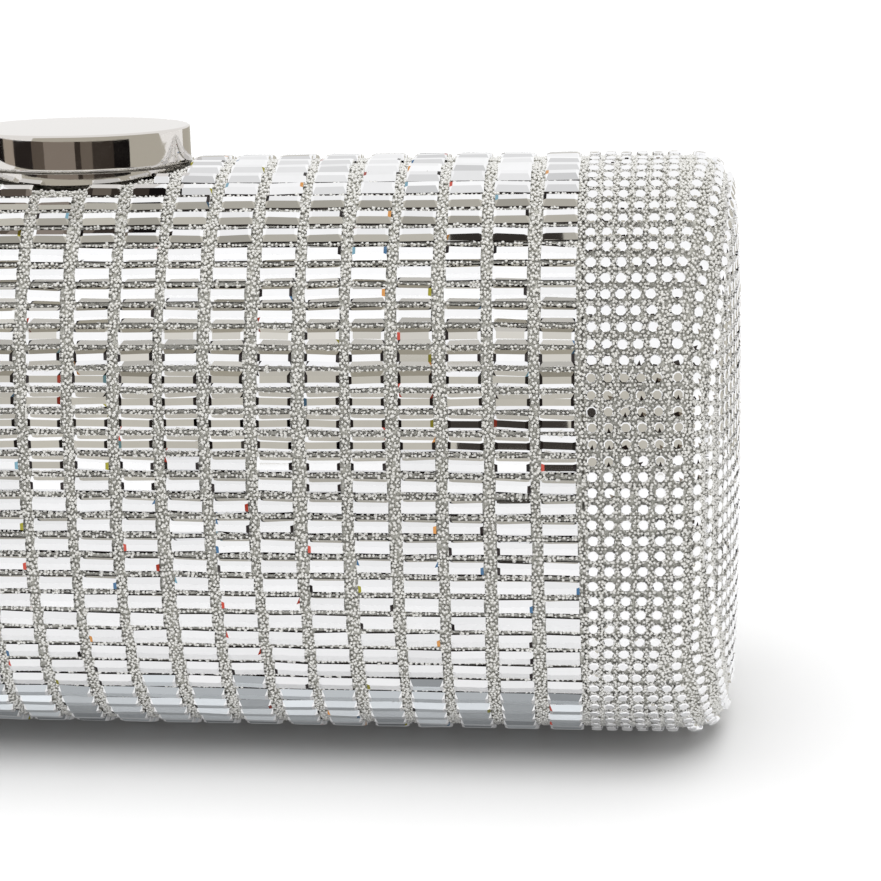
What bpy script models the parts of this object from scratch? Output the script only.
"""Crystal box clutch bag: two hard half shells on a bottom hinge, closed by a press clasp on the top edge.

Metres, +Z up. The origin is the middle of the base. X runs along the bag, the front half looks to -Y.
"""

import math

import bmesh
import bpy
from mathutils import Matrix, Vector

mm = 0.001

# Outer form, over the tables of the stones
bag_length = 203 * mm
bag_depth = 60 * mm
bag_height = 90 * mm
section_power = 2.25
base_sink = 0.8 * mm
end_bulge = 5 * mm
end_crown = 1 * mm
crown_power = 4
end_corner_radius = 6 * mm
end_corner_turn = math.radians(75)
end_taper = 2 * mm
smallest_corner = 0.3 * mm

# Layers, from the stones inwards
touch_gap = 0.3 * mm
mesh_thickness = 2.4 * mm
shell_thickness = 0.9 * mm
seam_gap = 0.4 * mm
round_stone_end_length = 23.5 * mm
frame_clearance = 0.5 * mm
frame_height = 3.2 * mm
frame_width = 3.4 * mm
frame_seam_gap = 0.15 * mm
lining_clearance = 0.6 * mm
lining_thickness = 1.0 * mm
pocket_length = 96 * mm
pocket_thickness = 1.4 * mm
pocket_low_angle = math.radians(-38)
pocket_high_angle = math.radians(22)

# Columns of long stones, with a groove between two columns where only the bead mesh lies
stone_length = 5 * mm
stone_columns = 23
column_pitch = 6.8 * mm
groove_depth = 0.95 * mm

# Bottom hinges
opening_angle = math.radians(70)
hinge_height = 1.95 * mm
hinge_end_distance = 41.5 * mm
hinge_length = 26 * mm
middle_knuckle_length = 8.4 * mm
knuckle_gap = 0.3 * mm
knuckle_radius = 1.1 * mm
pin_radius = 0.5 * mm
pin_clearance = 0.12 * mm
leaf_thickness = 0.6 * mm
leaf_width = 4.25 * mm
leaf_seam_gap = 0.35 * mm
web_inset = 0.1 * mm
web_thickness = 0.7 * mm
hinge_notch_clearance = 0.75 * mm
relief_clearance = 0.3 * mm

# Clasp: an oval plate on two posts, which a bar joins under the housing
clasp_length = 35 * mm
clasp_depth = 19.6 * mm
clasp_thickness = 6 * mm
clasp_underside_drop = 0.8 * mm
clasp_edge_radius = 0.4 * mm
clasp_opening_clearance = 0.5 * mm
clasp_travel = 1.2 * mm
post_end_distance = 5.5 * mm
post_setback = 6.3 * mm
post_radius = 1.1 * mm
post_clearance = 0.15 * mm
shell_hole_clearance = 0.3 * mm
collar_radius = 1.7 * mm
collar_height = 0.8 * mm
stud_radius = 0.65 * mm
stud_clearance = 0.3 * mm

# Lock housing, catch bar and springs
housing_length = 29 * mm
housing_depth = 5.65 * mm
housing_height = 11.7 * mm
housing_wall = 1.0 * mm
housing_drop = 1.9 * mm
housing_setback = 0.4 * mm
bar_end_clearance = 2 * mm
bar_depth = 3.8 * mm
bar_thickness = 1.0 * mm
bar_drop = 4.7 * mm
ridge_overlap = 0.5 * mm
ridge_depth = 2.4 * mm
ridge_height = 0.8 * mm
nut_radius = 1.3 * mm
nut_height = 0.8 * mm
nut_stud_end = 0.3 * mm
spring_radius = 1.75 * mm
spring_wire_radius = 0.2 * mm
spring_turns = 4
points_per_turn = 10

# Screwed tabs under the frame rails: the housing's ears and the keeper
tab_thickness = 1.0 * mm
tab_inset = 0.45 * mm
ear_length = 4 * mm
screw_radius = 0.6 * mm
screw_clearance = 0.25 * mm
screw_head_radius = 1.2 * mm
screw_head_height = 0.7 * mm
screw_bite = 2.2 * mm
screw_edge = 1.5 * mm
ear_screw_edge = 2.3 * mm
keeper_end_clearance = 1.5 * mm
keeper_screw_edge = 2 * mm
tongue_share = 4 / 9
tongue_thickness = 1.1 * mm
tongue_drop = 0.3 * mm
tooth_depth = 1.0 * mm

# Counts of facets, and the overrun of every cut
section_steps = 16
base_strip_steps = 1
taper_steps = 2
corner_steps = 3
cap_steps = 3
round_sides = 20
oval_sides = 48
overrun = 2 * mm
weld_distance = 0.001 * mm

# The two sides of the bag, by the sign of X
hands = {"left": -1, "right": 1}

# Places worked out from the sizes above
half_length = bag_length / 2
half_depth = bag_depth / 2
half_height = bag_height / 2
shell_offset = mesh_thickness + touch_gap
shell_inside = shell_offset + shell_thickness
frame_offset = shell_inside + frame_clearance
frame_inside = frame_offset + frame_height
lining_offset = shell_inside + lining_clearance
lining_inside = lining_offset + lining_thickness
frame_back = frame_seam_gap + frame_width
lining_edge = frame_back + touch_gap
field_half = half_length - round_stone_end_length
hinge_spacing = bag_length - 2 * hinge_end_distance
top_rail_underside = bag_height - frame_inside
bottom_rail_underside = frame_offset
clasp_underside = bag_height - clasp_underside_drop
post_spacing = housing_length - 2 * post_end_distance
bar_length = housing_length - 2 * (housing_wall + bar_end_clearance)
ear_screw_spacing = housing_length - 2 * ear_screw_edge
keeper_length = housing_length - 2 * (ear_length + keeper_end_clearance)
keeper_screw_spacing = keeper_length - 2 * keeper_screw_edge
tongue_length = keeper_length * tongue_share
ridge_length = tongue_length + 2 * ridge_overlap
housing_top = bag_height - shell_offset - housing_drop - clasp_travel - touch_gap
housing_front = frame_back + housing_setback
housing_back = housing_front + housing_depth
housing_floor = housing_top - housing_height
bar_top = housing_top - housing_wall - bar_drop
bar_underside = bar_top - bar_thickness
tab_top = top_rail_underside - touch_gap
tab_underside = tab_top - tab_thickness
spring_foot = housing_floor + housing_wall + touch_gap
spring_head = bar_underside - touch_gap


def clear_scene():
    for obj in list(bpy.data.objects):
        bpy.data.objects.remove(obj, do_unlink=True)
    for collection in list(bpy.data.collections):
        bpy.data.collections.remove(collection)


def make_collection(name):
    collection = bpy.data.collections.new(name)
    bpy.context.scene.collection.children.link(collection)
    return collection


clear_scene()
bag_parts = make_collection("crystal_box_clutch")
bag_cutters = make_collection("cutters")


def make_material(name, colour, roughness, metallic):
    material = bpy.data.materials.new(name)
    material.use_nodes = True
    shader = material.node_tree.nodes["Principled BSDF"]
    shader.inputs["Base Color"].default_value = (*colour, 1.0)
    shader.inputs["Roughness"].default_value = roughness
    shader.inputs["Metallic"].default_value = metallic
    return material


crystal = make_material("crystal_mesh", (0.80, 0.81, 0.81), 0.15, 0.3)
nickel = make_material("polished_nickel", (0.78, 0.75, 0.72), 0.08, 1.0)
plated_brass = make_material("plated_brass", (0.62, 0.61, 0.59), 0.25, 1.0)
steel = make_material("steel", (0.55, 0.56, 0.57), 0.30, 1.0)
satin = make_material("satin_lining", (0.55, 0.53, 0.51), 0.45, 0.0)


def mesh_object(name, bm, collection=bag_parts):
    bmesh.ops.recalc_face_normals(bm, faces=bm.faces)
    mesh = bpy.data.meshes.new(name)
    bm.to_mesh(mesh)
    bm.free()
    obj = bpy.data.objects.new(name, mesh)
    collection.objects.link(obj)
    return obj


def finish(obj, material):
    """Gives a part its material and smooth round faces."""
    obj.data.materials.clear()
    obj.data.materials.append(material)
    if obj.type == "MESH":
        obj.data.shade_smooth()
        obj.data.set_sharp_from_angle(angle=math.radians(35))
    return obj


def add_box(bm, low, high):
    size = Vector(high) - Vector(low)
    middle = (Vector(high) + Vector(low)) / 2
    place = Matrix.Translation(middle) @ Matrix.Diagonal((*size, 1.0))
    bmesh.ops.create_cube(bm, size=1.0, matrix=place)


def add_rod(bm, centre, radius, length, along, sides=round_sides):
    """A cylinder along X or Z, its middle at centre."""
    turn = Matrix.Rotation(math.pi / 2, 4, "Y") if along == "X" else Matrix.Identity(4)
    bmesh.ops.create_cone(
        bm,
        cap_ends=True,
        segments=sides,
        radius1=radius,
        radius2=radius,
        depth=length,
        matrix=Matrix.Translation(centre) @ turn,
    )


def box_object(name, low, high, collection=bag_parts):
    bm = bmesh.new()
    add_box(bm, low, high)
    return mesh_object(name, bm, collection)


def make_cutter(obj):
    obj.hide_render = True
    obj.display_type = "WIRE"
    return obj


def box_cutter(name, low, high):
    return make_cutter(box_object(name, low, high, bag_cutters))


def rod_cutter(name, centre, radius, length, along="Z"):
    bm = bmesh.new()
    add_rod(bm, centre, radius, length, along)
    return make_cutter(mesh_object(name, bm, bag_cutters))


def boolean(obj, tool, operation="DIFFERENCE"):
    modifier = obj.modifiers.new(tool.name, "BOOLEAN")
    modifier.operation = operation
    modifier.object = tool
    modifier.solver = "EXACT"


def join_on(obj, name, low, high):
    """Fuses a box onto a part."""
    boolean(obj, box_cutter(name, low, high), "UNION")


def make_empty(name, place):
    empty = bpy.data.objects.new(name, None)
    bag_parts.objects.link(empty)
    empty.location = place
    return empty


# Moving pieces hang on an empty that stands on their joint's axis
front_half_axis = make_empty("front_half_axis", (0, 0, hinge_height))
clasp_axis = make_empty("clasp_axis", (0, 0, clasp_underside))


def carry(empty, *pieces):
    """Hangs pieces on an empty without moving them."""
    for piece in pieces:
        piece.parent = empty
        piece.matrix_parent_inverse = Matrix.Translation(-empty.location)


def taper(x):
    """What the half depth loses towards the pole, past the straight middle."""
    return end_taper * ((x - field_half) / (half_length - field_half)) ** 2


def end_corner(offset):
    """The end's corner at an offset: its radius, its start, and what it takes off the depth and the height."""
    radius = max(end_corner_radius - offset, smallest_corner)
    start = half_length - offset - end_bulge - end_crown - radius * math.sin(end_corner_turn)
    height_loss = radius * (1 - math.cos(end_corner_turn))
    depth_loss = height_loss + taper(start + radius * math.sin(end_corner_turn))
    return radius, start, depth_loss, height_loss


def end_stations(start, offset, gap):
    """Flat stations of the right end: x, the losses of half depth and of half height, and the cap's share."""
    corner, corner_start, depth_loss, height_loss = end_corner(offset)
    stations = []
    for step in range(taper_steps):
        x = start + (corner_start - start) * step / taper_steps
        stations.append((x, taper(x), 0.0, 1.0))
    for step in range(corner_steps + 1):
        turn = end_corner_turn * step / corner_steps
        x = corner_start + corner * math.sin(turn)
        loss = corner * (1 - math.cos(turn))
        stations.append((x, taper(x) + loss, loss, 1.0))
    cap_start = stations[-1][0]
    pole_share = gap / (half_depth - offset - depth_loss)
    for step in range(1, cap_steps + 1):
        share = 1 - (1 - pole_share) * step / cap_steps
        stations.append((cap_start, depth_loss, height_loss, share))
    return stations


def swollen(x, across, up, offset):
    """The x of a point of a flat station: the ends swell outwards, most at the seam, a little at mid height."""
    _, corner_start, depth_loss, height_loss = end_corner(offset)
    depth_share = min(across / (half_depth - offset - depth_loss), 1.0)
    height_share = min(abs(up) / (half_height - offset - height_loss), 1.0)
    out = end_bulge * (1 - depth_share**2) + end_crown * (1 - height_share**crown_power)
    weight = min(max((abs(x) - field_half) / (corner_start - field_half), 0.0), 1.0)
    return x + math.copysign(out * weight, x)


def straight_stations(reach):
    """The two ends of a stretch in the straight middle."""
    return [(-reach, 0.0, 0.0, 1.0), (reach, 0.0, 0.0, 1.0)]


def half_stations(offset, gap):
    """Stations from the left pole of a half to its right pole."""
    right = end_stations(field_half, offset, gap)
    left = [(-x, *rest) for x, *rest in reversed(right)]
    return left + right


def section_point(angle, depth, height):
    """A point of the rounded section: angle 0 is the face's middle, -90 degrees the base, 90 the top."""
    y = depth * max(math.cos(angle), 0.0) ** (2 / section_power)
    up = math.sin(angle)
    reach = height + base_sink if up < 0 else height
    z = math.copysign(abs(up) ** (2 / section_power) * reach, up)
    return y, max(z, -height)


def section_angles(gap, depth):
    """Angles round a section from the seam's plane at the base to the seam's plane at the top."""
    edge = math.acos(min(gap / depth, 1.0) ** (section_power / 2))
    return [edge * (2 * step / section_steps - 1) for step in range(section_steps + 1)]


def pocket_angles(_gap, _depth):
    turn = pocket_high_angle - pocket_low_angle
    return [pocket_low_angle + turn * step / section_steps for step in range(section_steps + 1)]


def layer_grid(offset, gap, side, stations, angles=section_angles):
    """Points of one skin of a half: side is -1 for the front and 1 for the back."""
    grid = []
    for x, depth_loss, height_loss, share in stations:
        depth = (half_depth - offset - depth_loss) * share
        height = half_height - offset - height_loss
        row = []
        for angle in angles(gap, depth):
            y, z = section_point(angle, depth, height * share)
            y = max(y, gap)
            row.append((swollen(x, y, z, offset), side * y, half_height + z))
        grid.append(row)
    return grid


def add_skin(bm, grid):
    return [[bm.verts.new(point) for point in row] for row in grid]


def add_quads(bm, rows):
    for row, following in zip(rows, rows[1:]):
        for a, b, c, d in zip(row, row[1:], following[1:], following):
            bm.faces.new((a, b, c, d))


def layer_object(name, outer_grid, inner_grid):
    """A closed wall between two skins that start and end at the same stations, and have flat rims at the seam."""
    bm = bmesh.new()
    outer = add_skin(bm, outer_grid)
    inner = add_skin(bm, inner_grid)
    add_quads(bm, outer)
    add_quads(bm, inner)
    for place in (0, -1):
        outer_rim = [row[place] for row in outer]
        inner_rim = [row[place] for row in inner]
        if len(outer) == len(inner):
            add_quads(bm, [outer_rim, inner_rim])
        else:
            bm.faces.new(outer_rim + inner_rim[::-1])
    add_quads(bm, [outer[0], inner[0]])
    add_quads(bm, [outer[-1], inner[-1]])
    bmesh.ops.remove_doubles(bm, verts=bm.verts, dist=weld_distance)
    bmesh.ops.dissolve_degenerate(bm, edges=bm.edges, dist=weld_distance)
    return mesh_object(name, bm)


def half_layer(name, side, offset, thickness, gap):
    """A whole half shell at an offset under the stones' tables."""
    inside = offset + thickness
    outer = layer_grid(offset, gap, side, half_stations(offset, gap))
    inner = layer_grid(inside, gap, side, half_stations(inside, gap))
    return layer_object(name, outer, inner)


def end_layer(name, side, hand):
    """The round-stone mesh over one end: hand is -1 for the left and 1 for the right."""
    start = field_half + touch_gap

    def skin(offset):
        placed = [(hand * x, *rest) for x, *rest in end_stations(start, offset, seam_gap)]
        return layer_grid(offset, seam_gap, side, placed)

    return layer_object(name, skin(0.0), skin(mesh_thickness))


def ribbed_grid(side):
    """The outer skin of the long stones' field: a rib for each column, with grooves that end at the base strip."""
    middles = [column_pitch * (column - (stone_columns - 1) / 2) for column in range(stone_columns)]
    stations = [(-field_half, groove_depth)]
    for middle in middles:
        start = middle - stone_length / 2
        end = middle + stone_length / 2
        stations += [(start, groove_depth), (start, 0.0), (end, 0.0), (end, groove_depth)]
    stations.append((field_half, groove_depth))
    grid = []
    for x, depth in stations:
        station = [(x, 0.0, 0.0, 1.0)]
        base = layer_grid(0.0, seam_gap, side, station)[0][: base_strip_steps + 1]
        rest = layer_grid(depth, seam_gap, side, station)[0][base_strip_steps + 1 :]
        grid.append(base + rest)
    return grid


def baguette_layer(name, side):
    """The mesh with the long stones over the straight middle."""
    inner = layer_grid(mesh_thickness, seam_gap, side, straight_stations(field_half))
    return layer_object(name, ribbed_grid(side), inner)


def rim_outline(offset):
    """The outline of the bag seen from the front, at an offset: from the left pole over the top and back."""
    top = []
    for x, _, height_loss, share in half_stations(offset, 0.0):
        up = (half_height - offset - height_loss) * share
        top.append((swollen(x, frame_back, up, offset), up))
    bottom = [(x, -z) for x, z in reversed(top[1:-1])]
    return top + bottom


def rim_frame(name, side):
    """A flat ring round the edge: four outlines, at the seam and behind it, outside and inside."""
    near = side * frame_seam_gap
    far = side * frame_back
    bm = bmesh.new()
    loops = []
    for offset, y in ((frame_offset, near), (frame_offset, far), (frame_inside, far), (frame_inside, near)):
        loop = [bm.verts.new((x, y, half_height + z)) for x, z in rim_outline(offset)]
        loops.append(loop + loop[:1])
    add_quads(bm, loops + loops[:1])
    return mesh_object(name, bm)


def turned_object(name, profile, place, material):
    """A turned solid: its profile runs from the axis at the top down the outer side and back to the axis."""
    mesh = bpy.data.meshes.new(name)
    points = [(radius, 0.0, z) for radius, z in profile]
    edges = [(step, step + 1) for step in range(len(points) - 1)]
    mesh.from_pydata(points, edges, [])
    obj = bpy.data.objects.new(name, mesh)
    bag_parts.objects.link(obj)
    obj.location = (*place, 0)
    screw = obj.modifiers.new("turn", "SCREW")
    screw.steps = round_sides
    screw.render_steps = round_sides
    screw.use_merge_vertices = True
    screw.merge_threshold = weld_distance
    return finish(obj, material)


# Hinge relief: the halves meet on a line above the axis and leave a V below it, so that they can turn
def hinge_relief_cutter():
    spread = math.tan(opening_angle / 2) + relief_clearance / hinge_height
    low_reach = seam_gap + (hinge_height + overrun) * spread
    bm = bmesh.new()
    wedge = [
        (seam_gap, hinge_height),
        (low_reach, -overrun),
        (-low_reach, -overrun),
        (-seam_gap, hinge_height),
    ]
    start = [bm.verts.new((-half_length - overrun, y, z)) for y, z in wedge]
    bm.faces.new(start)
    grown = bmesh.ops.extrude_face_region(bm, geom=bm.faces[:])
    moved = [item for item in grown["geom"] if isinstance(item, bmesh.types.BMVert)]
    bmesh.ops.translate(bm, verts=moved, vec=(bag_length + 2 * overrun, 0, 0))
    return make_cutter(mesh_object("hinge_relief_cut", bm, bag_cutters))


def clasp_opening_cutter():
    bm = bmesh.new()
    add_rod(bm, (0, 0, bag_height), 1.0, bag_height - top_rail_underside, "Z", oval_sides)
    length = clasp_length / 2 + clasp_opening_clearance
    depth = clasp_depth / 2 + clasp_opening_clearance
    bmesh.ops.scale(bm, verts=bm.verts, vec=(length, depth, 1.0))
    return make_cutter(mesh_object("clasp_opening_cut", bm, bag_cutters))


hinge_relief = hinge_relief_cutter()
clasp_opening = clasp_opening_cutter()


def hinge_notches(name, reach):
    """Space round each hinge, out to reach on both sides of the seam."""
    span = hinge_length / 2 + touch_gap
    notches = []
    for word, hand in hands.items():
        middle = hand * hinge_spacing / 2
        low = (middle - span, -reach, -overrun)
        high = (middle + span, reach, bottom_rail_underside)
        notches.append(box_cutter(f"{word}_{name}", low, high))
    return notches


mesh_notches = hinge_notches("mesh_notch", knuckle_radius + hinge_notch_clearance)
shell_notches = hinge_notches("shell_notch", leaf_seam_gap + leaf_width + touch_gap)


# The two halves: shell, crystal mesh, frame and lining
def make_half(half, side):
    shell = half_layer(half + "_shell", side, shell_offset, shell_thickness, seam_gap)
    for notch in shell_notches:
        boolean(shell, notch)
    finish(shell, plated_brass)

    field = baguette_layer(half + "_baguette_mesh", side)
    boolean(field, hinge_relief)
    boolean(field, clasp_opening)
    for notch in mesh_notches:
        boolean(field, notch)
    finish(field, crystal)

    ends = []
    for word, hand in hands.items():
        end = end_layer(f"{half}_{word}_end_mesh", side, hand)
        boolean(end, hinge_relief)
        ends.append(finish(end, crystal))

    frame = finish(rim_frame(half + "_frame", side), nickel)
    lining = half_layer(half + "_lining", side, lining_offset, lining_thickness, lining_edge)
    return shell, frame, finish(lining, satin), field, *ends


back_shell, back_frame, back_lining, *_ = make_half("back", 1)
front_parts = make_half("front", -1)
front_frame = front_parts[1]
carry(front_half_axis, *front_parts)


# The slip pocket lies flat on the back lining
def make_slip_pocket():
    inside = lining_inside + touch_gap
    stations = straight_stations(pocket_length / 2)
    outer = layer_grid(inside, lining_edge, 1, stations, pocket_angles)
    inner = layer_grid(inside + pocket_thickness, lining_edge, 1, stations, pocket_angles)
    finish(layer_object("slip_pocket", outer, inner), satin)


make_slip_pocket()


# Barrel hinges: the back leaf has the two outer knuckles, the front leaf the middle one
def hinge_leaf(name, middle, side, knuckles):
    """knuckles lists where each knuckle starts and ends, from the hinge's middle."""
    leaf_top = bottom_rail_underside - touch_gap
    inner_edge = side * leaf_seam_gap
    outer_edge = side * (leaf_seam_gap + leaf_width)
    bm = bmesh.new()
    add_box(
        bm,
        (middle - hinge_length / 2, min(inner_edge, outer_edge), leaf_top - leaf_thickness),
        (middle + hinge_length / 2, max(inner_edge, outer_edge), leaf_top),
    )
    leaf = mesh_object(name, bm)
    web_near = side * (leaf_seam_gap + web_inset)
    web_far = side * (leaf_seam_gap + web_inset + web_thickness)
    for count, (low, high) in enumerate(knuckles):
        centre = (middle + (low + high) / 2, 0, hinge_height)
        knuckle = rod_cutter(f"{name}_knuckle_{count}", centre, knuckle_radius, high - low, "X")
        boolean(leaf, knuckle, "UNION")
        join_on(
            leaf,
            f"{name}_web_{count}",
            (middle + low + web_inset, min(web_near, web_far), hinge_height),
            (middle + high - web_inset, max(web_near, web_far), leaf_top - leaf_thickness / 2),
        )
    bore_radius = pin_radius + pin_clearance
    bore = rod_cutter(name + "_bore", (middle, 0, hinge_height), bore_radius, hinge_length + overrun, "X")
    boolean(leaf, bore)
    return finish(leaf, nickel)


def make_hinge(word, hand):
    middle = hand * hinge_spacing / 2
    inner = middle_knuckle_length / 2
    outer = hinge_length / 2
    front_leaf = hinge_leaf(f"{word}_hinge_front_leaf", middle, -1, [(-inner, inner)])
    carry(front_half_axis, front_leaf)
    outer_knuckles = [(-outer, -inner - knuckle_gap), (inner + knuckle_gap, outer)]
    hinge_leaf(f"{word}_hinge_back_leaf", middle, 1, outer_knuckles)
    bm = bmesh.new()
    add_rod(bm, (0, 0, 0), pin_radius, hinge_length, "X")
    pin = mesh_object(f"{word}_hinge_pin", bm)
    pin.location = (middle, 0, hinge_height)
    finish(pin, steel)


make_hinge("left", -1)
make_hinge("right", 1)


# Clasp: plate, posts, catch bar and nuts move down together
def make_clasp_plate():
    bm = bmesh.new()
    add_rod(bm, (0, 0, 0), 1.0, clasp_thickness, "Z", oval_sides)
    bmesh.ops.scale(bm, verts=bm.verts, vec=(clasp_length / 2, clasp_depth / 2, 1.0))
    plate = mesh_object("clasp_plate", bm)
    plate.location = (0, 0, clasp_underside + clasp_thickness / 2)
    bevel = plate.modifiers.new("rounded_edge", "BEVEL")
    bevel.width = clasp_edge_radius
    bevel.segments = 2
    bevel.limit_method = "ANGLE"
    return finish(plate, nickel)


def paired_places(spacing, setback):
    """The places of a left and a right piece, x and y."""
    return {word: (hand * spacing / 2, setback) for word, hand in hands.items()}


post_places = paired_places(post_spacing, post_setback)
collar_top = housing_top - housing_wall - touch_gap
stud_end = bar_underside - touch_gap - nut_height - nut_stud_end


def make_clasp_post(word):
    """A shaft with a stop collar under the housing's top wall and a thin stud through the catch bar."""
    top = clasp_underside - touch_gap
    shoulder = bar_top + touch_gap
    profile = [
        (0.0, top),
        (post_radius, top),
        (post_radius, collar_top),
        (collar_radius, collar_top),
        (collar_radius, collar_top - collar_height),
        (post_radius, collar_top - collar_height),
        (post_radius, shoulder),
        (stud_radius, shoulder),
        (stud_radius, stud_end),
        (0.0, stud_end),
    ]
    return turned_object(f"{word}_clasp_post", profile, post_places[word], steel)


def drill(obj, name, places, radius, low, high):
    """Vertical round holes through a part."""
    for word, (x, y) in places.items():
        centre = (x, y, (low + high) / 2)
        boolean(obj, rod_cutter(f"{word}_{name}", centre, radius, high - low))


def make_catch_bar():
    """A bar across the posts; its raised middle stands under the keeper's tooth."""
    front = post_setback - bar_depth / 2
    low = (-bar_length / 2, front, bar_underside)
    high = (bar_length / 2, front + bar_depth, bar_top)
    bar = box_object("catch_bar", low, high)
    ridge_low = (-ridge_length / 2, front, bar_underside)
    ridge_high = (ridge_length / 2, front + ridge_depth, bar_top + ridge_height)
    join_on(bar, "catch_ridge", ridge_low, ridge_high)
    stud_hole = stud_radius + stud_clearance
    drill(bar, "stud_hole", post_places, stud_hole, bar_underside - overrun, bar_top + overrun)
    return finish(bar, steel)


def make_post_nut(word):
    top = bar_underside - touch_gap
    place = post_places[word]
    bm = bmesh.new()
    add_rod(bm, (*place, top - nut_height / 2), nut_radius, nut_height, "Z", 6)
    nut = mesh_object(f"{word}_post_nut", bm)
    drill(nut, "nut_hole", {word: place}, stud_radius + stud_clearance, stud_end - overrun, top + overrun)
    return finish(nut, steel)


carry(clasp_axis, make_clasp_plate(), make_catch_bar())
for word in hands:
    carry(clasp_axis, make_clasp_post(word), make_post_nut(word))
drill(
    back_shell,
    "post_hole",
    post_places,
    post_radius + shell_hole_clearance,
    housing_top,
    bag_height,
)


# Lock housing: a tray, open to the front, screwed up under the back frame's top rail
ear_screw_places = paired_places(ear_screw_spacing, frame_back - screw_edge)


def make_lock_housing():
    reach = housing_length / 2
    housing = box_object(
        "lock_housing",
        (-reach, housing_front, housing_floor),
        (reach, housing_back, housing_top),
    )
    boolean(
        housing,
        box_cutter(
            "housing_cavity",
            (-reach + housing_wall, housing_front - overrun, housing_floor + housing_wall),
            (reach - housing_wall, housing_back - housing_wall, housing_top - housing_wall),
        ),
    )
    for word, hand in hands.items():
        near = hand * (reach - ear_length)
        far = hand * reach
        join_on(
            housing,
            f"{word}_ear",
            (min(near, far), frame_seam_gap + tab_inset, tab_underside),
            (max(near, far), housing_front + housing_wall, tab_top),
        )
    low = housing_top - housing_wall - overrun
    drill(housing, "guide_bore", post_places, post_radius + post_clearance, low, housing_top + overrun)
    ear_hole = screw_radius + screw_clearance
    drill(housing, "ear_hole", ear_screw_places, ear_hole, tab_underside - overrun, tab_top + touch_gap)
    return finish(housing, steel)


make_lock_housing()
notch_clearance = 2 * touch_gap
boolean(
    back_lining,
    box_cutter(
        "lining_notch",
        (-housing_length / 2 - notch_clearance, lining_edge - overrun, housing_floor - notch_clearance),
        (housing_length / 2 + notch_clearance, housing_back + notch_clearance, bag_height),
    ),
)


def make_clasp_spring(word):
    """A coil spring between the housing's floor and the catch bar."""
    curve = bpy.data.curves.new(f"{word}_clasp_spring", "CURVE")
    curve.dimensions = "3D"
    curve.bevel_depth = spring_wire_radius
    curve.bevel_resolution = 1
    curve.use_fill_caps = True
    steps = spring_turns * points_per_turn
    low = spring_foot + spring_wire_radius
    high = spring_head - spring_wire_radius
    x, y = post_places[word]
    spline = curve.splines.new("POLY")
    spline.points.add(steps)
    for step, point in enumerate(spline.points):
        turn = 2 * math.pi * step / points_per_turn
        z = low + (high - low) * step / steps
        point.co = (x + spring_radius * math.cos(turn), y + spring_radius * math.sin(turn), z, 1.0)
    spring = bpy.data.objects.new(f"{word}_clasp_spring", curve)
    bag_parts.objects.link(spring)
    return finish(spring, steel)


for word in hands:
    make_clasp_spring(word)


# Screws go up through a tab into the frame's rail
def make_screw(name, place):
    shank_top = top_rail_underside + screw_bite
    head_top = tab_underside - touch_gap
    profile = [
        (0.0, shank_top),
        (screw_radius, shank_top),
        (screw_radius, head_top),
        (screw_head_radius, head_top),
        (screw_head_radius, head_top - screw_head_height),
        (0.0, head_top - screw_head_height),
    ]
    return turned_object(name, profile, place, steel)


def drill_rail(frame, name, places):
    low = top_rail_underside - overrun
    high = top_rail_underside + screw_bite + touch_gap
    drill(frame, name, places, screw_radius + screw_clearance, low, high)


for word, place in ear_screw_places.items():
    make_screw(f"{word}_housing_screw", place)
drill_rail(back_frame, "back_rail_hole", ear_screw_places)


# Keeper: a plate under the front frame's top rail, with a tongue that reaches back over the catch bar
keeper_screw_places = paired_places(keeper_screw_spacing, screw_edge - frame_back)


def make_keeper():
    back_edge = -frame_seam_gap - tab_inset
    front_edge = -frame_back + tab_inset
    keeper = box_object(
        "keeper",
        (-keeper_length / 2, front_edge, tab_underside),
        (keeper_length / 2, back_edge, tab_top),
    )
    tip = post_setback - bar_depth / 2 + ridge_depth + touch_gap + tooth_depth
    tongue_top = tab_top - tongue_drop
    tongue_underside = tongue_top - tongue_thickness
    join_on(
        keeper,
        "tongue",
        (-tongue_length / 2, front_edge, tongue_underside),
        (tongue_length / 2, tip, tongue_top),
    )
    join_on(
        keeper,
        "tooth",
        (-tongue_length / 2, tip - tooth_depth, bar_top + ridge_height + touch_gap),
        (tongue_length / 2, tip, tongue_top),
    )
    hole = screw_radius + screw_clearance
    drill(keeper, "keeper_hole", keeper_screw_places, hole, tab_underside - overrun, tab_top + touch_gap)
    return finish(keeper, steel)


carry(front_half_axis, make_keeper())
for word, place in keeper_screw_places.items():
    carry(front_half_axis, make_screw(f"{word}_keeper_screw", place))
drill_rail(front_frame, "front_rail_hole", keeper_screw_places)
